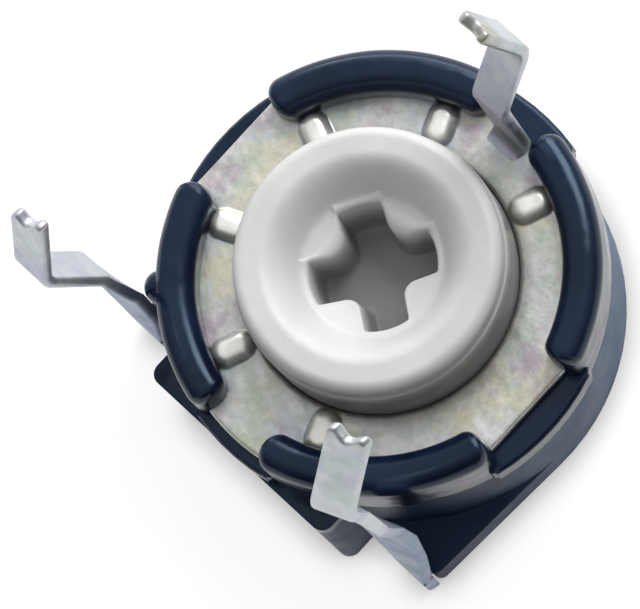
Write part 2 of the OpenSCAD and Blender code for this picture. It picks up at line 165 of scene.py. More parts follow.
# how far the rounded normal leaves the flat one: 0 on a face and up to 1 on an edge
def edgeShare(tree, radius, gain):
    flat = addNode(tree, "ShaderNodeNewGeometry").outputs["Normal"]
    bent = maths(tree, "SUBTRACT", 1.0, dotProduct(tree, roundedEdge(tree, radius), flat))
    return spread(tree, bent, 0.01, gain)


def startMaterial(name):
    material = bpy.data.materials.new(name)
    material.use_nodes = True
    return material, material.node_tree


# plugs sockets or constants into the shader, by the names of its inputs
def finishMaterial(material, colour, roughness, normal, **others):
    tree = material.node_tree
    shader = tree.nodes["Principled BSDF"]
    for name, value in {"Base Color": colour, "Roughness": roughness, "Normal": normal, **others}.items():
        plug(tree, value, shader.inputs[name.replace("_", " ")])
    return material


housingLook = {
    "deep": (0.0025, 0.0055, 0.018),
    "bluish": (0.0050, 0.0110, 0.033),
    # colour of dust, and of edge wear with a painted edge highlight
    "dustWearAndHighlight": (0.07, 0.12, 0.19),
    "sheen": (0.56, 0.76, 1.0),
    # the lower wall's colour, lighter than the lips: a painted reflection of the floor
    "wall": (0.012, 0.026, 0.064),
    "paintedFloorReflection": (0.080, 0.130, 0.215),  # painted reflection of the floor on the wall's right-hand side
    "paintedReflectionRange": (3.6, 5.2),  # mm along X + 0.6 Y, where the painted reflection starts and is full
    "wallTop": 3.1,  # mm, below it the wall keeps its matt moulded finish and is painted lighter, a painted reflection of the floor
    "wallFade": 0.4,
    "roughness": (0.15, 0.27),
    "wallRoughness": 0.30,  # added on the wall
    "dust": 0.10,
    "edgeWearAndHighlight": 0.55,
    "edgeWearAndHighlightRadius": 0.06,
    "edgeRadius": 0.09,
}


def housingPlastic():
    look = housingLook
    material, tree = startMaterial("housingPlastic")
    place = objectPlace(tree)
    cloud = spread(tree, noise(tree, place, 0.45, 4.0), 0.35, 0.65)
    colour = blendColour(tree, cloud, look["deep"], look["bluish"])

    x, y, z = addNode(tree, "ShaderNodeSeparateXYZ", Vector=place).outputs
    # the lower wall is matt and painted lighter and bluer, most on its right-hand side: a painted
    # reflection of the floor
    lowerWallShare = spread(tree, z, (look["wallTop"] - look["wallFade"]) * mm, look["wallTop"] * mm, 1.0, 0.0)
    towardsRight = maths(tree, "ADD", x, maths(tree, "MULTIPLY", y, 0.6))
    paintedFloorReflection = spread(tree, towardsRight, *(s * mm for s in look["paintedReflectionRange"]))
    wall = blendColour(tree, paintedFloorReflection, look["wall"], look["paintedFloorReflection"])
    colour = blendColour(tree, lowerWallShare, colour, wall)

    dust = spread(tree, noise(tree, place, 5.0, 5.0, 0.7), 0.60, 0.80, 0.0, look["dust"])
    colour = blendColour(tree, dust, colour, look["dustWearAndHighlight"])
    # rounded edges lighter in patches: wear and a painted edge highlight
    patches = spread(tree, noise(tree, place, 1.1, 3.0), 0.3, 0.7)
    edgeWearAndHighlight = maths(tree, "MULTIPLY", edgeShare(tree, look["edgeWearAndHighlightRadius"], 0.22), patches)
    colour = blendColour(tree, maths(tree, "MULTIPLY", edgeWearAndHighlight, look["edgeWearAndHighlight"]), colour, look["dustWearAndHighlight"])

    gloss = spread(tree, noise(tree, place, 0.9, 4.0), 0.3, 0.7, *look["roughness"])
    gloss = maths(tree, "ADD", gloss, maths(tree, "MULTIPLY", lowerWallShare, look["wallRoughness"]))
    normal = bump(tree, noise(tree, place, 0.7, 2.0), 0.05, roundedEdge(tree, look["edgeRadius"]))
    normal = bump(tree, noise(tree, place, 16.0, 2.0), 0.0012, normal)
    return finishMaterial(material, colour, gloss, normal, IOR=1.47, Specular_Tint=look["sheen"])


plateLook = {
    "grey": (0.66, 0.67, 0.66),
    # each film: tint, patches per mm, turn in degrees, noise where a patch starts and is full, most
    "films": (
        ((0.64, 0.62, 0.48), 0.55, (0, 0, 15), 0.45, 0.62, 0.9),  # yellow
        ((0.53, 0.61, 0.51), 0.8, (0, 40, 20), 0.50, 0.64, 0.75),  # green
        ((0.51, 0.58, 0.66), 0.6, (30, 0, 50), 0.50, 0.66, 0.7),  # blue
        ((0.52, 0.43, 0.50), 0.9, (50, 0, 70), 0.53, 0.66, 0.8),  # violet
    ),
    "wornAndHighlit": (0.95, 0.94, 0.88),
    "wornAndHighlitHeights": (4.20, 4.36),  # mm, the ribs are painted bright between these: rubbing and a painted highlight on their tops
    "wornAndHighlitEdge": 0.10,
    "paintedShadeNearRotor": (0.62, 0.60, 0.58),  # painted shade: what is left of the colour close to the rotor
    "paintedShadeRadii": (3.2, 3.6),
    "metallic": 0.75,
    "roughness": (0.30, 0.48),
    "edgeRadius": 0.04,
}


# zinc plating under a thin passivation film, whose tint changes from patch to patch
def zincPlate():
    look = plateLook
    material, tree = startMaterial("zincPlate")
    place = objectPlace(tree)
    colour = look["grey"]
    for tint, perMm, turn, low, high, most in look["films"]:
        patches = noise(tree, objectPlace(tree, turn=turn), perMm, 4.0, 0.6)
        colour = blendColour(tree, spread(tree, patches, low, high, 0.0, most), colour, tint)
    grain = spread(tree, noise(tree, place, 4.5, 6.0, 0.75), 0.25, 0.75, 0.80, 1.10)
    colour = timesColour(tree, colour, greyOf(tree, grain))

    x, y, z = addNode(tree, "ShaderNodeSeparateXYZ", Vector=place).outputs
    # painted shade: the plate darkens next to the rotor's foot
    near = spread(tree, fromAxis(tree, x, y), *(r * mm for r in look["paintedShadeRadii"]), 0.85, 0.0)
    colour = blendColour(tree, near, colour, timesColour(tree, colour, look["paintedShadeNearRotor"]))
    # the ribs' tops and the rounded edges painted bright: rubbing and a painted highlight
    raised = spread(tree, z, *(h * mm for h in look["wornAndHighlitHeights"]), 0.0, 0.9)
    wornAndHighlit = maths(tree, "MAXIMUM", raised, edgeShare(tree, look["wornAndHighlitEdge"], 0.30))
    colour = blendColour(tree, wornAndHighlit, colour, look["wornAndHighlit"])

    gloss = spread(tree, noise(tree, place, 1.8, 5.0), 0.3, 0.7, *look["roughness"])
    normal = bump(tree, noise(tree, place, 0.8, 2.0), 0.05, roundedEdge(tree, look["edgeRadius"]))
    normal = bump(tree, noise(tree, place, 5.0, 4.0, 0.7), 0.009, normal)
    return finishMaterial(material, colour, gloss, normal, Metallic=look["metallic"])


# distance from the part's axis: the root of x squared plus y squared
def fromAxis(tree, x, y):
    squares = maths(tree, "ADD", maths(tree, "POWER", x, 2.0), maths(tree, "POWER", y, 2.0))
    return maths(tree, "SQRT", squares)


pinLook = {
    "bright": (0.60, 0.63, 0.66),
    "violet": (0.50, 0.51, 0.60),
    "green": (0.50, 0.58, 0.56),
    "stain": (0.33, 0.32, 0.20),
    "metallic": 0.85,
    "roughness": (0.36, 0.50),
    "edgeRadius": 0.05,
    # each finish: the shank's painted shade colour, the heights where it fades out, and the tip's stain
    "wiperTin": {"shankShade": (0.76, 0.74, 0.78), "fade": (6.2, 7.6), "tipFrom": 10.6, "tipMost": 0.8},
    "pinTin": {"shankShade": (0.45, 0.51, 0.64), "fade": (5.2, 7.0), "tipFrom": 11.4, "tipMost": 0.3},
}


# tin plating: faint tints in broad patches, fine marks along the strip, stained at the tips and darkened
# towards the body by painted shade
def tinPlating(name):
    look, own = pinLook, pinLook[name]
    material, tree = startMaterial(name)
    place = objectPlace(tree)
    drawn = objectPlace(tree, (1.0, 1.0, 0.10))
    turned = objectPlace(tree, turn=(40, 0, 70))
    violet = spread(tree, noise(tree, place, 0.8, 3.0), 0.42, 0.62)
    colour = blendColour(tree, violet, look["bright"], look["violet"])
    green = spread(tree, noise(tree, turned, 0.9, 3.0), 0.50, 0.66)
    colour = blendColour(tree, green, colour, look["green"])

    along = addNode(tree, "ShaderNodeSeparateXYZ", Vector=place).outputs["Z"]
    tip = spread(tree, along, own["tipFrom"] * mm, (own["tipFrom"] + 1.0) * mm, 0.0, own["tipMost"])
    patches = spread(tree, noise(tree, place, 1.3, 3.0), 0.35, 0.60, 0.35, 1.0)
    colour = blendColour(tree, maths(tree, "MULTIPLY", tip, patches), colour, look["stain"])
    # painted shade: the lower strip darker towards the body
    shadedLow = timesColour(tree, colour, own["shankShade"])
    colour = blendColour(tree, spread(tree, along, *(h * mm for h in own["fade"])), shadedLow, colour)

    gloss = spread(tree, noise(tree, place, 2.0, 4.0), 0.3, 0.7, *look["roughness"])
    normal = bump(tree, noise(tree, place, 0.9, 2.0), 0.03, roundedEdge(tree, look["edgeRadius"]))
    normal = bump(tree, noise(tree, drawn, 7.0, 3.0), 0.002, normal)
    return finishMaterial(material, colour, gloss, normal, Metallic=look["metallic"])


rotorLook = {
    "light": (0.64, 0.632, 0.625),
    "grey": (0.56, 0.555, 0.55),
    "speck": (0.30, 0.28, 0.25),
    "slotShade": 0.46,  # how much of its lightness the plastic keeps at the slot's floor
    "slotRadii": (1.55, 1.75),  # mm, the shade of the slot ends between these
    "slotHeights": (4.0, 5.15),
    "footShade": (0.38, 0.38, 0.39),  # and low on its side, as painted shade next to the plate
    "footRadii": (3.0, 3.12),
    "footHeights": (5.0, 5.95),
    "translucence": 0.15,
    "scatterRadius": 0.4,
    "roughness": (0.38, 0.52),
    "edgeRadius": 0.06,
}


def rotorPlastic():
    look = rotorLook
    material, tree = startMaterial("rotorPlastic")
    place = objectPlace(tree)
    cloud = spread(tree, noise(tree, place, 0.5, 4.0), 0.35, 0.7, 0.0, 0.6)
    colour = blendColour(tree, cloud, look["light"], look["grey"])
    specks = spread(tree, noise(tree, place, 6.0, 2.0), 0.74, 0.80, 0.0, 0.35)
    colour = blendColour(tree, specks, colour, look["speck"])

    x, y, z = addNode(tree, "ShaderNodeSeparateXYZ", Vector=place).outputs
    across = fromAxis(tree, x, y)
    inside = spread(tree, across, *(r * mm for r in look["slotRadii"]), 1.0, 0.0)
    deep = spread(tree, z, *(h * mm for h in look["slotHeights"]), look["slotShade"], 1.0)
    colour = blendColour(tree, inside, colour, timesColour(tree, colour, greyOf(tree, deep)))
    # painted shade low on the rotor's side, next to the plate
    outside = spread(tree, across, *(r * mm for r in look["footRadii"]))
    low = spread(tree, z, *(h * mm for h in look["footHeights"]), 1.0, 0.0)
    colour = blendColour(tree, maths(tree, "MULTIPLY", outside, low), colour,
                         timesColour(tree, colour, look["footShade"]))

    gloss = spread(tree, noise(tree, place, 2.0, 3.0), 0.3, 0.7, *look["roughness"])
    normal = bump(tree, noise(tree, place, 1.2, 3.0), 0.02, roundedEdge(tree, look["edgeRadius"]))
    normal = bump(tree, noise(tree, place, 7.0, 3.0), 0.004, normal)
    return finishMaterial(material, colour, gloss, normal, Subsurface_Weight=look["translucence"],
                          Subsurface_Radius=[look["scatterRadius"] * mm] * 3, Subsurface_Scale=1.0)


innerLook = {
    "brass": (0.72, 0.55, 0.30),
    "rivet": (0.74, 0.62, 0.38),
    "tarnish": 0.6,  # how much of its colour the metal keeps in the dark patches
    "board": (0.16, 0.09, 0.04),
    "boardDark": (0.09, 0.05, 0.025),
}


def innerMetal(name, bright):
    material, tree = startMaterial(name)
    place = objectPlace(tree)
    darker = tuple(innerLook["tarnish"] * c for c in bright)
    patches = spread(tree, noise(tree, place, 1.2, 4.0), 0.35, 0.7)
    colour = blendColour(tree, patches, bright, darker)
    gloss = spread(tree, noise(tree, place, 3.0, 3.0), 0.3, 0.7, 0.25, 0.45)
    normal = bump(tree, noise(tree, place, 8.0, 3.0), 0.005)
    return finishMaterial(material, colour, gloss, normal, Metallic=1.0)


def boardLaminate():
    material, tree = startMaterial("boardLaminate")
    place = objectPlace(tree, (1.0, 0.2, 1.0))
    patches = spread(tree, noise(tree, place, 5.0, 5.0), 0.3, 0.7)
    colour = blendColour(tree, patches, innerLook["board"], innerLook["boardDark"])
    return finishMaterial(material, colour, 0.55, bump(tree, noise(tree, place, 9.0, 3.0), 0.006))


sharpFrom = 38  # degrees between two faces, from which the edge between them stays sharp


# a closed surface from points in mm: meeting points are merged and the faces turned outwards
def closedMesh(name, points, faces):
    data = bpy.data.meshes.new(name)
    data.from_pydata((points.reshape(-1, 3) * mm).tolist(), [], faces.tolist())
    made = bmesh.new()
    made.from_mesh(data)
    bmesh.ops.remove_doubles(made, verts=made.verts, dist=1e-8)
    bmesh.ops.recalc_face_normals(made, faces=made.faces)
    made.to_mesh(data)
    made.free()
    data.shade_smooth()
    data.set_sharp_from_angle(angle=math.radians(sharpFrom))
    return data


def addPiece(name, data, body, material, standsFor=()):
    data.materials.append(material)
    piece = bpy.data.objects.new(name, data)
    bpy.context.scene.collection.objects.link(piece)
    if standsFor:
        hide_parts(*standsFor)
    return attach(piece, body)


# faces between neighbouring rows of a grid whose columns run round and meet
def gridFaces(rows, cols, closeRows=False):
    index = np.arange(rows * cols).reshape(rows, cols)
    here = index if closeRows else index[:-1]
    above = np.roll(index, -1, axis=0) if closeRows else index[1:]
    corners = [here, np.roll(here, -1, axis=1), np.roll(above, -1, axis=1), above]
    return np.stack(corners, axis=-1).reshape(-1, 4)


# a line through the corners: each corner becomes an arc that touches both of its sides, with one
# more point close to each end of the arc, which keeps the straight stretches flat
def roundedLine(corners, radius, steps=6):
    corners = np.asarray(corners, float)
    radii = np.broadcast_to(radius, len(corners))
    closest = 0.05
    made = [corners[:1]]
    for before, corner, after, r in zip(corners[:-2], corners[1:-1], corners[2:], radii[1:-1]):
        one = (before - corner) / np.linalg.norm(before - corner)
        two = (after - corner) / np.linalg.norm(after - corner)
        half = math.acos(np.clip(one @ two, -1, 1)) / 2
        middle = corner + (one + two) / np.linalg.norm(one + two) * r / math.sin(half)
        start, end = corner + one * r / math.tan(half), corner + two * r / math.tan(half)
        share = np.linspace(0, 1, steps + 1)[:, None]
        spoke = (start - middle) * (1 - share) + (end - middle) * share
        arc = middle + spoke / np.linalg.norm(spoke, axis=1, keepdims=True) * r
        near = min(closest, 0.2 * np.linalg.norm(start - made[-1][-1]))
        beyond = min(closest, 0.2 * r + 0.01)
        made += [(start + one * near)[None], arc, (end + two * beyond)[None]]
    made.append(corners[-1:])
    return np.concatenate(made)


# a closed section of (radius, height) carried round the axis from one angle to another
def ringBlock(section, start, end, columns=24):
    angles = np.radians(np.linspace(start, end, columns))
    angles = np.concatenate([angles[:1], angles, angles[-1:]])
    share = np.ones((len(angles), 1))
    share[[0, -1]] = 0
    section = np.asarray(section)
    middle = section.mean(axis=0)
    radius = middle[0] + (section[:, 0] - middle[0]) * share
    height = middle[1] + (section[:, 1] - middle[1]) * share
    x, y = radius * np.cos(angles)[:, None], radius * np.sin(angles)[:, None]
    return np.stack([x, y, height], axis=-1), gridFaces(len(angles), len(section))


# several closed grids in one piece: each one's faces count on from the points before it
def together(*parts):
    points = [p.reshape(-1, 3) for p, f in parts]
    first = np.cumsum([0] + [len(p) for p in points[:-1]])
    return np.concatenate(points), np.concatenate([f + n for (p, f), n in zip(parts, first)])


rotorShape = {
    "turn": 12.0,  # degrees from mid-travel
    "slotLength": 3.0,
    "slotWidth": 1.04,
    "slotFloor": 3.5,
    "floorFillet": 0.16,
    "draft": 0.07,
    "landTip": (0.52, 0.48, 0.30, 0.30),  # plan radius of the four lands' tips
    "landFall": (0.46, 0.36, 0.13, 0.13),  # rounding from each land down into the slot
    "armFall": 0.13,  # the same rounding at the ends of the slot's arms
    "faceRadius": 2.50,
    "mouthRadius": 1.76,
    "dishDepth": 0.70,
    "dishCurve": 1.9,
    "funnelDepth": 1.10,
    "funnelRadius": 0.8,
    "funnelSlope": 0.305,
    "bowlBlend": 0.06,
    "outer": 3.175,
    "sideStep": 0.06,
    "stepDepth": 0.60,
    "edge": 0.27,
    "shoulder": (3.345, 3.80, 3.05),  # radius, top and bottom of the shoulder under the plate
    "skirt": (3.125, 1.90),  # radius and bottom of the skirt that carries the spring
    "hub": 1.925,
    "rearRim": 1.62,
    "rearSlot": (1.0, 0.22, 0.8),  # width, tip radius and depth of the rear slot
    "lugCorners": ((3.0, 2.2), (3.5, 2.2), (4.1, 2.2), (4.1, 3.05), (3.0, 3.05), (3.0, 2.2)),
    "lugBends": (0, 0.03, 0.05, 0.05, 0.03, 0),
    "lugSpans": ((67.5, 77.0), (103.0, 112.5)),  # degrees
    "columns": 480,
}


# how far the slot's edge is from the axis: half the width over the sine of the angle from the
# arm, the near side of a circle round a land's tip, or half the length, whichever is least
def slotOutline(angles, length, width, tip):
    fromArm = np.abs((angles + np.pi / 4) % (np.pi / 2) - np.pi / 4)
    side = width / 2 / np.maximum(np.sin(fromArm), 1e-3)
    centre = width / 2 + tip
    along = centre * (np.cos(fromArm) + np.sin(fromArm))
    circle = along - np.sqrt(np.maximum(along ** 2 + tip ** 2 - 2 * centre ** 2, 0))
    farthest, soft = 3.0, 0.03
    edge = np.minimum(np.where(fromArm > np.arctan2(width / 2, centre), circle, side), farthest)
    return -soft * np.log(np.exp(-edge / soft) + math.exp(-length / 2 / soft))


# height of the bowl: the funnel's cone, and the dish above it, a power curve that eases into the
# face, meet softly
def bowlHeight(radius, top):
    shape = rotorShape
    blend, mouth, face = shape["bowlBlend"], shape["mouthRadius"], shape["faceRadius"]
    rise = shape["funnelSlope"] * np.maximum(radius - shape["funnelRadius"], -0.15)
    cone = top - shape["funnelDepth"] + rise
    share = np.clip((radius - mouth) / (face - mouth), -0.6, 1)
    dish = top - shape["dishDepth"] * (1 - share) ** shape["dishCurve"]
    return np.minimum(blend * np.logaddexp(cone / blend, dish / blend), top)


# the rotor's outline from the face down over shoulder, skirt and hub to the rear rim
def rotorSide(top, rear):
    shape = rotorShape
    outer, step, face = shape["outer"], shape["sideStep"], shape["faceRadius"]
    side = top - shape["stepDepth"]
    shoulder, shoulderTop, shoulderBottom = shape["shoulder"]
    skirt, skirtBottom = shape["skirt"]
    hub = shape["hub"]
    corners = [(face + 0.05, top), (outer - step, top), (outer - step, side + step), (outer, side),
               (outer, shoulderTop), (shoulder, shoulderTop), (shoulder, shoulderBottom),
               (skirt, shoulderBottom), (skirt, skirtBottom), (hub, skirtBottom), (hub, rear),
               (shape["rearRim"], rear)]
    bends = (0, shape["edge"], 0.05, 0.04, 0.02, 0.04, 0.04, 0.04, 0.04, 0.04, 0.10, 0)
    return roundedLine(corners, bends, 8)


# rings from the axis out over slot floor, wall, land, funnel and face, down the side and back in
# to the rear slot; a ring is a radius and a height for every angle
def rotorPoints():
    shape = rotorShape
    low, high = (np.array(c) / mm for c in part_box("rotor"))
    top, rear = high[2], low[2]
    angles = np.linspace(0, 2 * np.pi, shape["columns"], endpoint=False)
    quarter = (angles // (np.pi / 2)).astype(int) % 4
    toLand = np.sin(2 * angles) ** 2
    tip, landFall = np.array(shape["landTip"])[quarter], np.array(shape["landFall"])[quarter]
    edge = slotOutline(angles, shape["slotLength"], shape["slotWidth"], tip)
    fall = shape["armFall"] + (landFall - shape["armFall"]) * toLand
    rings = []

    def ring(radius, height):
        rings.append(np.stack(np.broadcast_arrays(radius + 0 * angles, height), axis=-1))

    floor, fillet, face = (shape[k] for k in ("slotFloor", "floorFillet", "faceRadius"))
    root = edge - shape["draft"]
    for t in (0, 0.25, 0.5, 0.75, 0.93, 1):
        ring((root - fillet) * t, floor)
    for a in np.radians(np.arange(15, 91, 15)):
        ring(root - fillet * (1 - np.sin(a)), floor + fillet * (1 - np.cos(a)))
    landEdge = edge + fall
    landTop = bowlHeight(landEdge, top)
    for t in np.linspace(0.1, 1, 8):
        ring(root + (edge - root) * t, floor + fillet + (landTop - fall - floor - fillet) * t)
    for a in np.radians(np.arange(8, 91, 8)):
        ring(landEdge - fall * np.cos(a), landTop - fall * (1 - np.sin(a)))
    for t in np.linspace(0.03, 1, 36):
        radius = landEdge + (face - landEdge) * t
        ring(radius, bowlHeight(radius, top))
    for radius, height in rotorSide(top, rear):
        ring(radius, height)

    width, tip, depth = shape["rearSlot"]
    edge = slotOutline(angles, shape["slotLength"], width, tip)
    for grow, deep in ((0.05, 0), (0.01, 0.01), (0, 0.05), (0, depth / 2), (0, depth - 0.04),
                       (-0.02, depth - 0.01), (-0.06, depth)):
        ring(edge + grow, rear + deep)
    ring(edge * 0.5, rear + depth)
    ring(0, rear + depth)
    radius, height = np.moveaxis(np.stack(rings), -1, 0)
    turned = angles + math.radians(shape["turn"] + 45)
    return np.stack([radius * np.cos(turned), radius * np.sin(turned), height], axis=-1)


def addRotor(material):
    body = rotorPoints()
    turn = rotorShape["turn"]
    lug = roundedLine(rotorShape["lugCorners"], rotorShape["lugBends"], 3)[:-1]
    lugs = [ringBlock(lug, start + turn, end + turn) for start, end in rotorShape["lugSpans"]]
    points, faces = together((body, gridFaces(*body.shape[:2])), *lugs)
    data = closedMesh("rotorKnob", points, faces)
    addPiece("rotorKnob", data, "rotor_group", material, ("rotor",))


plateShape = {
    "bottom": 3.85,
    "thickness": 0.3,
    "hole": 3.19,
    "disc": 4.72,
    "flats": (4.67, 4.87),  # distance of the +X and the -X edge from the axis
    "flatHalf": 1.342,
    "flatRadius": 4.9,  # the radius at which the half length of a flat is measured
    "tabs": 5.0,
    "tabHalf": 0.96,
    "pinStop": 4.08,  # where the plate ends under the wiper pin
    "pinHalf": 0.51,
    "pinRadius": 4.6,
    "cutSoftness": 0.012,
    "edge": 0.11,
    "rib": (67.5, 45.0, 6),  # first angle, step, count
    "ribFrom": 3.62,
    "ribTo": 3.98,
    "ribHalf": 0.40,
    "ribRise": 0.24,
    "ribUnder": 0.8,  # share of the rise that shows as a hollow underneath
    "wave": 0.006,
    "columns": 1200,
    "rowsAcross": 46,
}


# the plate's outline: a disc that reaches out to a straight edge at either side and to an arc at
# front and rear, and stops short where the wiper pin is bent up out of it
def plateOutline(angles):
    shape = plateShape
    x, y = np.cos(angles), np.sin(angles)

    def within(off, half):
        return 1 / (1 + np.exp(np.clip((np.abs(off) - half) / shape["cutSoftness"], -50, 50)))

    flat = np.where(x > 0, *shape["flats"]) / np.maximum(np.abs(x), 0.1)
    reach = np.full_like(angles, shape["disc"])
    atSide = within(y * shape["flatRadius"], shape["flatHalf"]) * (np.abs(x) > 0.7)
    reach = reach + (flat - reach) * atSide
    atTab = within(x * shape["tabs"], shape["tabHalf"])
    reach = reach + (shape["tabs"] - reach) * atTab
    atPin = within(x * shape["pinRadius"], shape["pinHalf"]) * (y > 0)
    return reach + (shape["pinStop"] / np.maximum(y, 0.5) - reach) * atPin


# height of the ribs: (1 - d^4)^2 over the distance d from each rib's middle line
def ribHeight(radius, angles):
    shape = plateShape
    first, step, count = shape["rib"]
    height = np.zeros(np.broadcast(radius, angles).shape)
    for k in range(count):
        turned = angles - math.radians(first + step * k)
        along, off = radius * np.cos(turned), radius * np.sin(turned)
        beyond = along - np.clip(along, shape["ribFrom"], shape["ribTo"])
        far = np.minimum(np.hypot(beyond, off) / shape["ribHalf"], 1)
        height = np.maximum(height, shape["ribRise"] * (1 - far ** 4) ** 2)
    return height


# rows from the hole's rounded edge out over the face, round the rim and back underneath, raised
# by the ribs and by a slow wave, a product of two sines that grows with the distance from the hole
def platePoints():
    shape = plateShape
    angles = np.linspace(0, 2 * np.pi, shape["columns"], endpoint=False)
    outline = plateOutline(angles)
    e, half = shape["edge"], shape["thickness"] / 2
    a = np.radians(np.linspace(0, 90, 6))
    # share of the way from hole to outline, distance kept from that end, height from mid-plane,
    # and share of the ribs' rise
    across = np.linspace(0, 1, shape["rowsAcross"])
    rows = [(0, e * (1 - np.cos(t)), half - e * (1 - np.sin(t)), 1) for t in a]
    rows += [(s, e * (1 - 2 * s), half, 1) for s in across[1:-1]]
    rows += [(1, -e * (1 - np.cos(t)), half - e * (1 - np.sin(t)), 1) for t in a[::-1]]
    rows += [(share, keep, -height, shape["ribUnder"]) for share, keep, height, _ in rows[::-1]]
    share, keep, height, lift = np.array(rows).T[:, :, None]
    fromHole = (outline - shape["hole"]) * share + keep
    radius = shape["hole"] + fromHole
    rise = ribHeight(radius, angles) * lift
    x, y = radius * np.cos(angles), radius * np.sin(angles)
    wave = shape["wave"] * np.sin(2.1 * x + 1.3 * y + 0.5) * np.sin(1.7 * y - 0.8 * x + 1.1) * fromHole
    return np.stack([x, y, shape["bottom"] + half + height + rise + wave], axis=-1)


pinStrip = {
    "width": 1.0,
    "thickness": 0.3,
    "edgeBulge": 0.06,
    "tipRound": 0.10,
    "notchDepth": 0.30,
    "notchHalf": 0.33,
    "notchCurve": 1.3,
    "hornRound": 0.20,
    "footTop": 1.0,  # height where an end pin's strip takes over from its own solid's foot
    "rows": 260,
}
# each pin: its middle along X, the corners of its bent line as (distance from the axis, height)
# with their radii, how far the tip is cut askew, and by height its twist in degrees about the
# pivot and its sideways drift
pins = {
    "left": {
        "middle": -4.35,
        "corners": ((4.36, 0.97), (4.36, 6.6), (5.28, 9.2), (4.41, 12.1)),
        "bends": (0, 0.9, 0.9, 0),
        "skew": -0.6,
        "twist": ((1.0, 2.5, 4.2, 6.4), (0, 13, 15, 0)),
        "pivot": -0.5,
        "drift": ((4.5, 6.6, 9.2, 12.0), (0, -0.10, -0.19, -0.17)),
    },
    "right": {
        "middle": 4.35,
        "corners": ((4.36, 0.97), (4.36, 6.4), (4.88, 9.1), (3.36, 12.22)),
        "bends": (0, 1.0, 1.2, 0),
        "skew": 0.0,
        "twist": ((1.0, 2.5, 4.0, 5.4, 6.4, 8.2, 10.5), (0, 16, 26, 20, 6, 24, 16)),
        "pivot": -0.5,
        "drift": ((0, 1), (0, 0)),
    },
    "wiper": {
        "middle": 0.0,
        "corners": ((3.95, 3.995), (4.45, 4.0), (4.45, 7.2), (5.68, 9.1), (5.03, 12.1)),
        "bends": (0, 0.45, 0.8, 1.0, 0),
        "skew": -0.5,
        "twist": ((0, 1), (0, 0)),
        "pivot": 0.0,
        "drift": ((0, 1), (0, 0)),
    },
}


# the strip's half section: places across it and half thicknesses there, with bulged edges
def stripSection():
    half, thick = pinStrip["width"] / 2, pinStrip["thickness"] / 2
    a = np.radians(np.linspace(0, 90, 6))
    bulge = pinStrip["edgeBulge"] * (1 - np.cos(a))
    flat = np.linspace(-half, half, 49)[4:-4]
    side = np.concatenate([bulge - half, flat, half - bulge[::-1]])
    deep = np.concatenate([thick * np.sin(a), np.full(len(flat), thick), thick * np.sin(a[::-1])])
    return side, deep


# how much shorter each place across the tip is: a cosine hollow in the middle, a quarter circle
# at each horn and a straight cut askew
def tipCut(side, skew):
    half, horn = pinStrip["width"] / 2, pinStrip["hornRound"]
    inNotch = np.clip(side / pinStrip["notchHalf"], -1, 1)
    notch = pinStrip["notchDepth"] * np.cos(np.pi / 2 * inNotch) ** pinStrip["notchCurve"]
    past = np.clip(np.abs(side) - half + horn, 0, horn)
    rounding = horn - np.sqrt(horn ** 2 - past ** 2)
    return notch + rounding + abs(skew) * (half + side * np.sign(skew))


# the section carried along the pin's bent line, twisted and shifted by its height; every column
# of the grid stops at its own length, and that cuts the hollow and the two horns of the tip
def stripPoints(pin, outward):
    line = roundedLine(pin["corners"], pin["bends"], 14)
    run = np.concatenate([[0], np.cumsum(np.linalg.norm(np.diff(line, axis=0), axis=1))])
    lean = np.unwrap(np.arctan2(*np.gradient(line, run, axis=0).T[::-1]))
    thick, r = pinStrip["thickness"] / 2, pinStrip["tipRound"]
    side, deep = stripSection()
    cut = run[-1] - tipCut(side, pin["skew"])
    a = np.radians(np.linspace(0, 90, 6))[1:, None]
    rows = np.linspace(0, 1, pinStrip["rows"])[:, None]
    s = np.concatenate([rows * (cut - r), cut - r * (1 - np.sin(a))])
    thin = np.concatenate([np.ones(rows.shape), 1 - r / thick * (1 - np.cos(a))])
    y, z, lean = (np.interp(s, run, values) for values in (line[:, 0], line[:, 1], lean))
    sheets = []
    for sign in (1, -1):
        offset = sign * deep * thin
        out, up = y - np.sin(lean) * offset, z + np.cos(lean) * offset
        turn = np.radians(np.interp(up, *pin["twist"]))
        fromPivot = side - pin["pivot"]
        x = pin["middle"] + pin["pivot"] + fromPivot * np.cos(turn) + np.interp(up, *pin["drift"])
        sheets.append(np.stack([x, outward * out + fromPivot * np.sin(turn), up], axis=-1))
    points = np.concatenate([sheets[0], sheets[1][:, ::-1]], axis=1)
    n, cols = len(side), 2 * len(side)
    k = np.arange(n - 1)
    caps = [np.stack([b + k, b + k + 1, b + cols - 2 - k, b + cols - 1 - k], axis=-1)
            for b in (0, (len(points) - 1) * cols)]
    return points, np.concatenate([gridFaces(len(points), cols), *caps])


# the pin's foot is the lower end of its own solid, cut level where the strip takes over
def addEndPin(side, material):
    foot = bmesh.new()
    foot.from_mesh(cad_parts[side + "_pin"].data)
    bmesh.ops.remove_doubles(foot, verts=foot.verts, dist=1e-7)
    level = (0, 0, pinStrip["footTop"] * mm)
    cut = bmesh.ops.bisect_plane(foot, geom=[*foot.verts, *foot.edges, *foot.faces], dist=1e-8,
                                 plane_co=level, plane_no=(0, 0, 1), clear_outer=True)
    rim = [e for e in cut["geom_cut"] if isinstance(e, bmesh.types.BMEdge)]
    bmesh.ops.contextual_create(foot, geom=rim)
    bmesh.ops.recalc_face_normals(foot, faces=foot.faces)
    for face in foot.faces:
        face.smooth = True
    data = closedMesh(side + "Pin", *stripPoints(pins[side], -1))
    foot.from_mesh(data)
    foot.to_mesh(data)
    foot.free()
    data.set_sharp_from_angle(angle=math.radians(sharpFrom))
    addPiece(side + "Pin", data, "body", material, (side + "_pin",))


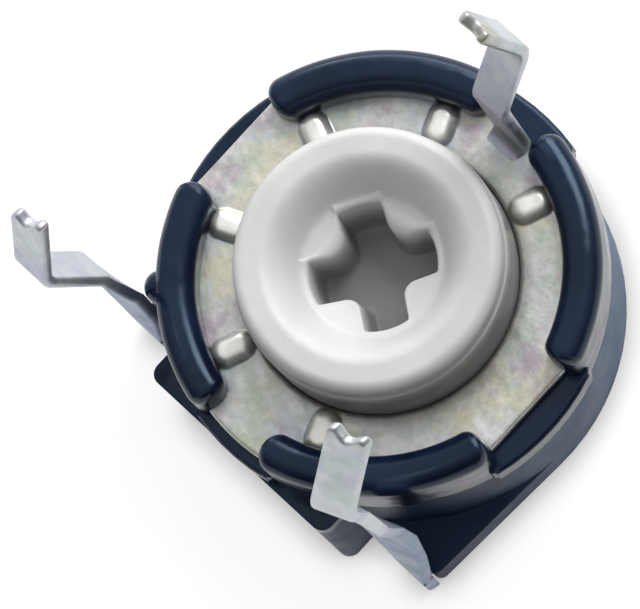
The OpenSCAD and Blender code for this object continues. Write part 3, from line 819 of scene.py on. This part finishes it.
def addPlate(plateMaterial, pinMaterial):
    points = platePoints()
    data = closedMesh("coverPlate", points, gridFaces(*points.shape[:2], closeRows=True))
    addPiece("coverPlate", data, "body", plateMaterial, ("cover_plate",))
    data = closedMesh("wiperPin", *stripPoints(pins["wiper"], 1))
    addPiece("wiperPin", data, "body", pinMaterial)


lipShape = {
    "ends": ((14.6, 82.4), (99.6, 165.2), (194.8, 260.2), (279.4, 345.2)),  # degrees
    "outer": (5.20, 5.26, 5.20, 5.20),
    "inner": 4.265,
    "root": (4.82, 5.01),  # inner and outer radius where the lip leaves the wall
    "bottom": 2.84,
    "flareTop": 3.42,
    "foot": 4.17,
    "narrowFrom": 3.3,  # on the outside the ends narrow from this height up, and fully at the base
    "outside": 4.9,  # radius beyond which a point counts as outside
    "base": 4.20,  # only above this height do the ends also come down
    "top": 5.015,
    "corner": 0.40,
    "endRound": 0.40,
    "endRadius": 4.75,  # the radius at which the rounding of the ends is measured
    "leastWidth": 0.25,
    "leastHeight": 0.10,
    "columns": 160,
}


# a folded lip: a rounded section carried round the axis; near each end, at share u of the end's
# rounding, its width shrinks by sqrt(1 - u^2) and its height by (1 - u^4)^(1/4)
def lipPoints(start, end, outer):
    shape = lipShape
    angles = np.linspace(start, end, shape["columns"])
    angles = np.concatenate([[start], angles, [end]])
    arc = np.radians(np.minimum(angles - start, end - angles)) * shape["endRadius"]
    u = 1 - np.clip(arc / shape["endRound"], 0, 1)
    wide = np.maximum(np.sqrt(1 - u ** 2), shape["leastWidth"])[:, None]
    tall = np.maximum((1 - u ** 4) ** 0.25, shape["leastHeight"])[:, None]
    closed = np.ones((len(angles), 1))
    closed[[0, -1]] = 0
    inner, top, c, foot, bottom = (shape[k] for k in ("inner", "top", "corner", "foot", "bottom"))
    rootInner, rootOuter = shape["root"]
    corners = [(rootInner, bottom), (rootOuter, bottom), (outer, shape["flareTop"]), (outer, top),
               (inner, top), (inner, foot), (rootInner, foot)]
    across, up = roundedLine(corners, (0, 0.03, 0.5, c, c, 0.03, 0), 8).T
    middle, base = (outer + inner) / 2, shape["base"]
    low = (up < base) & (across > shape["outside"])
    narrowing = np.clip((up - shape["narrowFrom"]) / (base - shape["narrowFrom"]), 0, 1)
    wide = np.where(low, 1 - (1 - wide) * narrowing, wide)
    radius = middle + (across - middle) * wide * closed
    height = np.where(up > base, base + np.maximum(up - base, 0) * tall, up)
    height = np.where(closed > 0, height, base)
    turned = np.radians(angles)[:, None]
    return np.stack([radius * np.cos(turned), radius * np.sin(turned), height], axis=-1)


def addLips(material):
    grids = [lipPoints(*ends, outer) for ends, outer in zip(lipShape["ends"], lipShape["outer"])]
    points, faces = together(*[(grid, gridFaces(*grid.shape[:2])) for grid in grids])
    data = closedMesh("foldedLips", points, faces)
    addPiece("foldedLips", data, "body", material)


def dress(node, material):
    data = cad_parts[node].data
    data.materials.clear()
    data.materials.append(material)


# the studio: a white floor that keeps the shadow, a round soft lamp, a strip lamp, and a sky that
# is brighter on the lamps' side, with a window low in it
studio = {
    "floorColour": (0.20, 0.20, 0.20),
    "floorGlow": 0.88,
    "floorShade": 0.9,  # mm from the part within which the floor darkens
    "shadeLeast": 0.45,  # share of the glow that is left right beside the part
    "floorBelow": 0.02,  # mm under the back face, so that the two never coincide
    "floorSize": 1500,
    "lampAway": 300,
    "softLamp": {"azimuth": 104.0, "elevation": 46.0, "size": (200,), "power": 0.62},
    "stripLamp": {"azimuth": 130.0, "elevation": 20.0, "size": (300, 60), "power": 0.26},
    "sky": {"azimuth": 140.0, "elevation": 50.0, "bright": 0.78, "dim": 0.08},
    "window": {"azimuth": 138.0, "elevation": 18.0, "bright": 0.6},
}


# only the camera, reflections and light passing through see the floor's own glow
def paleFloor():
    material, tree = startMaterial("paleFloor")
    tree.nodes.clear()
    paper = addNode(tree, "ShaderNodeBsdfDiffuse", Color=studio["floorColour"])
    ray = addNode(tree, "ShaderNodeLightPath").outputs
    seen = maths(tree, "MAXIMUM", ray["Is Camera Ray"], ray["Is Glossy Ray"])
    seen = maths(tree, "MAXIMUM", seen, ray["Is Transmission Ray"])
    reach, glow = studio["floorShade"] * mm, studio["floorGlow"]
    # painted shadow: the glow darkens close to the part
    near = addNode(tree, "ShaderNodeAmbientOcclusion", {"samples": 8}, Distance=reach)
    glowWithPaintedShadow = spread(tree, near.outputs["AO"], 0.3, 1.0, studio["shadeLeast"] * glow, glow)
    strength = maths(tree, "MULTIPLY", seen, glowWithPaintedShadow)
    light = addNode(tree, "ShaderNodeEmission", Color=(1, 1, 1), Strength=strength)
    both = addNode(tree, "ShaderNodeAddShader")
    plug(tree, paper.outputs[0], both.inputs[0])
    plug(tree, light.outputs[0], both.inputs[1])
    addNode(tree, "ShaderNodeOutputMaterial", Surface=both.outputs[0])
    return material


def addFloor():
    half, low = studio["floorSize"] / 2 * mm, -studio["floorBelow"] * mm
    data = bpy.data.meshes.new("floor")
    corners = [(-half, -half, low), (half, -half, low), (half, half, low), (-half, half, low)]
    data.from_pydata(corners, [], [(0, 1, 2, 3)])
    floor = bpy.data.objects.new("floor", data)
    bpy.context.scene.collection.objects.link(floor)
    data.materials.append(paleFloor())


def addLamp(name):
    look = studio[name]
    data = bpy.data.lights.new(name, "AREA")
    data.shape = "DISK" if len(look["size"]) == 1 else "RECTANGLE"
    data.size = look["size"][0] * mm
    data.size_y = look["size"][-1] * mm
    data.energy = look["power"]
    lamp = bpy.data.objects.new(name, data)
    towards = direction(look["azimuth"], look["elevation"])
    facing = towards.to_track_quat("Z", "Y").to_matrix().to_4x4()
    lamp.matrix_world = Matrix.Translation(towards * studio["lampAway"] * mm) @ facing
    bpy.context.scene.collection.objects.link(lamp)


# the sky brightens with the cosine of the angle from its bright side, the window with that from
# its own middle
def addSky():
    world = bpy.data.worlds.new("paleSky")
    world.use_nodes = True
    tree = world.node_tree
    seen = addNode(tree, "ShaderNodeTexCoord").outputs["Generated"]
    sky, window = studio["sky"], studio["window"]
    towardsSky = dotProduct(tree, seen, direction(sky["azimuth"], sky["elevation"]))
    towardsWindow = dotProduct(tree, seen, direction(window["azimuth"], window["elevation"]))
    strength = maths(tree, "ADD", spread(tree, towardsSky, -0.3, 1.0, sky["dim"], sky["bright"]),
                     spread(tree, towardsWindow, 0.80, 0.96, 0.0, window["bright"]))
    background = tree.nodes["Background"]
    plug(tree, (1.0, 1.0, 1.0), background.inputs["Color"])
    plug(tree, strength, background.inputs["Strength"])
    bpy.context.scene.world = world


addCamera()
addFloor()
addLamp("softLamp")
addLamp("stripLamp")
addSky()
bpy.context.scene.view_settings.view_transform = "Standard"
print("stage: camera, floor and light")

housingFinish = housingPlastic()
dress("housing", housingFinish)
addLips(housingFinish)
print("stage: housing and lips")
addRotor(rotorPlastic())
print("stage: rotor")
addPlate(zincPlate(), tinPlating("wiperTin"))
print("stage: cover plate and wiper pin")
pinFinish = tinPlating("pinTin")
addEndPin("left", pinFinish)
addEndPin("right", pinFinish)
print("stage: end pins")
dress("wiper_spring", innerMetal("springBrass", innerLook["brass"]))
rivetFinish = innerMetal("rivetBrass", innerLook["rivet"])
dress("left_rivet", rivetFinish)
dress("right_rivet", rivetFinish)
dress("resistive_element", boardLaminate())
print("stage: finishes on", len(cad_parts), "nodes")
